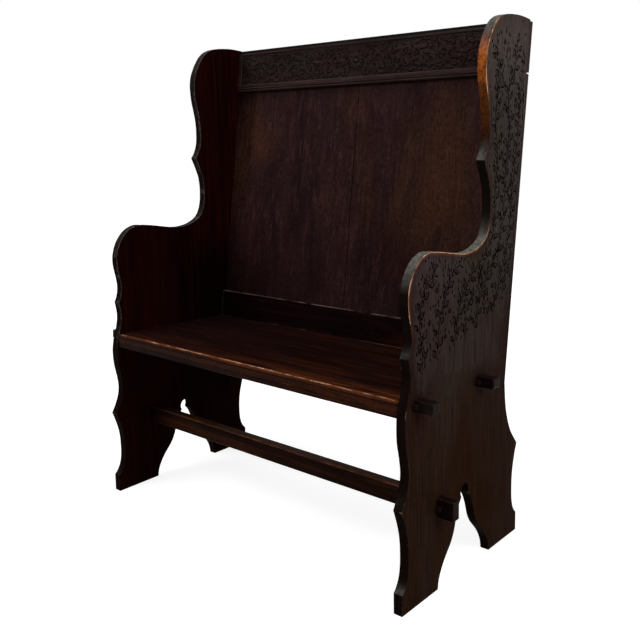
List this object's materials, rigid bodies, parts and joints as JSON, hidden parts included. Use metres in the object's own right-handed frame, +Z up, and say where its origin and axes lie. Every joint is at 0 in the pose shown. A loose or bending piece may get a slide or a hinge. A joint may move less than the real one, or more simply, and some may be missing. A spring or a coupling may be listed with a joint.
{
  "type": "settle bench",
  "caption": "High-backed wooden settle with shaped plank sides, arched feet, keyed through tenons, raked plank back and a carved frieze rail.",
  "frame": {"origin": "on the floor, midway between the sides and midway between the frontmost and rearmost points", "axes": "+X along the seat to the sitter's left, -Y to the front, +Z up"},
  "size_m": [1.078, 0.544, 1.256],
  "materials": {
    "side_oak": "dark stained oak, satin wax, worn arrises",
    "seat_oak": "dark stained oak, polished by use, worn nosing",
    "frame_oak": "dark stained oak, satin wax",
    "back_oak": "dark stained oak boards, satin wax",
    "key_oak": "dark stained oak",
    "steel": "darkened steel"
  },
  "bodies": {
    "root": {"side_left": "side_oak", "side_right": "side_oak", "seat_board": "seat_oak", "seat_front_rail": "seat_oak", "stretcher": "frame_oak", "top_rail": "frame_oak", "lower_back_rail": "frame_oak", "back_board_left": "back_oak", "back_board_right": "back_oak", "key_seat_front_left": "key_oak", "key_seat_front_right": "key_oak", "key_seat_rear_left": "key_oak", "key_seat_rear_right": "key_oak", "key_stretcher_left": "key_oak", "key_stretcher_right": "key_oak", "rail_screws": "steel", "nails_top_rail": "steel", "nails_lower_rail": "steel", "nails_seat": "steel"}
  },
  "joints": []
}
